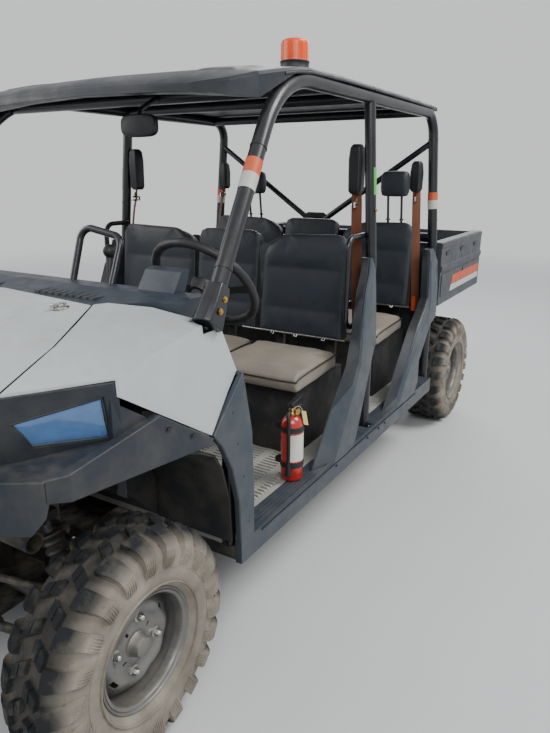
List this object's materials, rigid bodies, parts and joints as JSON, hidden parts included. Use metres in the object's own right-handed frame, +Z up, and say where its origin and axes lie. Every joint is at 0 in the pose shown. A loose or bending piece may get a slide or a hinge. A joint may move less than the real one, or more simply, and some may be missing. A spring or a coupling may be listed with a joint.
{
  "type": "side by side utility vehicle",
  "caption": "Open crew cab utility vehicle with tube cage and roof, bench seats in rows, steered front wheels, tilting hood and dump bed with tailgate.",
  "frame": {"origin": "on the ground, centred in width and length", "axes": "-Y forward, +X to the driver's side, +Z up"},
  "size_m": [1.588, 3.86, 2.005],
  "materials": {
    "tyre": "tread rubber",
    "wheel_steel": "satin silver paint",
    "frame_black": "satin black",
    "skid_plastic": "moulded black",
    "cast_metal": "as cast",
    "machined_steel": "bare steel",
    "light_body": "warm light grey, satin",
    "slate_body": "slate grey, fine texture",
    "dark_trim": "dark grey, grained",
    "roof_plastic": "charcoal, grained",
    "black_rubber": "matt",
    "floor_mat": "grey ribbed mat",
    "seat_vinyl": "taupe vinyl",
    "seat_back_vinyl": "dark slate vinyl",
    "headlamp_lens": "clear moulded lens",
    "amber_lens": "amber",
    "red_lens": "red",
    "mirror_glass": "silvered",
    "red_paint": "gloss red",
    "webbing": "woven brown and orange",
    "shock_paint": "pale grey coil"
  },
  "bodies": {
    "chassis": {"main_frame": "frame_black", "front_bumper": "frame_black", "skid_plate": "skid_plastic", "hitch_receiver": "frame_black", "front_arms": "frame_black", "rear_suspension": "frame_black", "shocks": "shock_paint", "driveline": "cast_metal", "engine": "cast_metal", "front_fenders": "light_body", "nose_fascia": "dark_trim", "headlamps": "headlamp_lens", "wheel_flares": "dark_trim", "front_liner": "dark_trim", "dash": "dark_trim", "steering_column": "frame_black", "floor": "floor_mat", "rocker_panels": "slate_body", "side_panels": "slate_body", "pillar_panels": "slate_body", "quarter_panels": "slate_body", "rear_bulkhead": "dark_trim", "seat_base_front": "dark_trim", "seat_base_rear": "dark_trim", "seat_cushion_front": "seat_vinyl", "seat_cushion_rear": "seat_vinyl", "seat_back_front": "seat_vinyl", "seat_back_rear": "seat_vinyl", "head_restraints": "seat_back_vinyl", "cage_left": "frame_black", "cage_right": "frame_black", "cage_crossbars": "frame_black", "roof": "roof_plastic", "beacon": "amber_lens", "mirror": "mirror_glass", "grab_bar": "frame_black", "cab_controls": "frame_black", "fire_extinguisher": "red_paint", "belt_retractors": "dark_trim", "seat_belts": "webbing"},
    "hood": {"hood": "light_body", "hood_latches": "black_rubber"},
    "steering_wheel": {"steering_wheel": "black_rubber"},
    "steering_rack": {"steering_rack": "machined_steel"},
    "tie_rod_left": {"tie_rod_left": "machined_steel"},
    "tie_rod_right": {"tie_rod_right": "machined_steel"},
    "knuckle_left": {"knuckle_left": "cast_metal"},
    "knuckle_right": {"knuckle_right": "cast_metal"},
    "wheel_front_left": {"tyre_front_left": "tyre", "rim_front_left": "wheel_steel"},
    "wheel_front_right": {"tyre_front_right": "tyre", "rim_front_right": "wheel_steel"},
    "wheel_rear_left": {"tyre_rear_left": "tyre", "rim_rear_left": "wheel_steel"},
    "wheel_rear_right": {"tyre_rear_right": "tyre", "rim_rear_right": "wheel_steel"},
    "cargo_bed": {"bed": "dark_trim", "tail_lamps": "red_lens"},
    "tailgate": {"tailgate": "dark_trim"}
  },
  "joints": [
    {"name": "steer_left", "type": "hinge", "parent": "chassis", "child": "knuckle_left", "pos_m": [0.615, -1.435, 0.33], "axis": [0, 0, 1], "range_deg": [-32, 32]},
    {"name": "steer_right", "type": "hinge", "parent": "chassis", "child": "knuckle_right", "pos_m": [-0.615, -1.435, 0.33], "axis": [0, 0, 1], "range_deg": [-32, 32]},
    {"name": "steering_wheel_turn", "type": "hinge", "parent": "chassis", "child": "steering_wheel", "pos_m": [0.495, -0.785, 1.183], "axis": [0, 0.788, 0.6157], "range_deg": [-270, 270]},
    {"name": "rack_slide", "type": "slide", "parent": "chassis", "child": "steering_rack", "axis": [1, 0, 0], "range_m": [-0.0585, 0.0585]},
    {"name": "tie_rod_left_swing", "type": "hinge", "parent": "steering_rack", "child": "tie_rod_left", "pos_m": [0.3085, -1.262, 0.402], "axis": [0, 0, 1], "range_deg": [-9.3, 9.3]},
    {"name": "tie_rod_right_swing", "type": "hinge", "parent": "steering_rack", "child": "tie_rod_right", "pos_m": [-0.3085, -1.262, 0.402], "axis": [0, 0, 1], "range_deg": [-9.3, 9.3]},
    {"name": "wheel_front_left_spin", "type": "hinge", "parent": "knuckle_left", "child": "wheel_front_left", "pos_m": [0.6795, -1.435, 0.33], "axis": [1, 0, 0], "continuous": true},
    {"name": "wheel_front_right_spin", "type": "hinge", "parent": "knuckle_right", "child": "wheel_front_right", "pos_m": [-0.6795, -1.435, 0.33], "axis": [1, 0, 0], "continuous": true},
    {"name": "wheel_rear_left_spin", "type": "hinge", "parent": "chassis", "child": "wheel_rear_left", "pos_m": [0.6545, 1.435, 0.33], "axis": [1, 0, 0], "continuous": true},
    {"name": "wheel_rear_right_spin", "type": "hinge", "parent": "chassis", "child": "wheel_rear_right", "pos_m": [-0.6545, 1.435, 0.33], "axis": [1, 0, 0], "continuous": true},
    {"name": "hood_hinge", "type": "hinge", "parent": "chassis", "child": "hood", "pos_m": [0, -1.909, 1.073], "axis": [1, 0, 0], "range_deg": [0, 65]},
    {"name": "bed_tilt", "type": "hinge", "parent": "chassis", "child": "cargo_bed", "pos_m": [0, 1.7, 0.79], "axis": [-1, 0, 0], "range_deg": [0, 45]},
    {"name": "tailgate_hinge", "type": "hinge", "parent": "cargo_bed", "child": "tailgate", "pos_m": [0, 1.911, 0.86], "axis": [-1, 0, 0], "range_deg": [0, 90]}
  ],
  "couplings": [
    {"joint": "steer_right", "follows": "steer_left", "ratio": 1},
    {"joint": "steering_wheel_turn", "follows": "steer_left", "ratio": 8.4375},
    {"joint": "rack_slide", "follows": "steer_left", "m_per_rad": -0.10474},
    {"joint": "tie_rod_left_swing", "follows": "steer_left", "ratio": -0.2906},
    {"joint": "tie_rod_right_swing", "follows": "steer_left", "ratio": -0.2906}
  ]
}
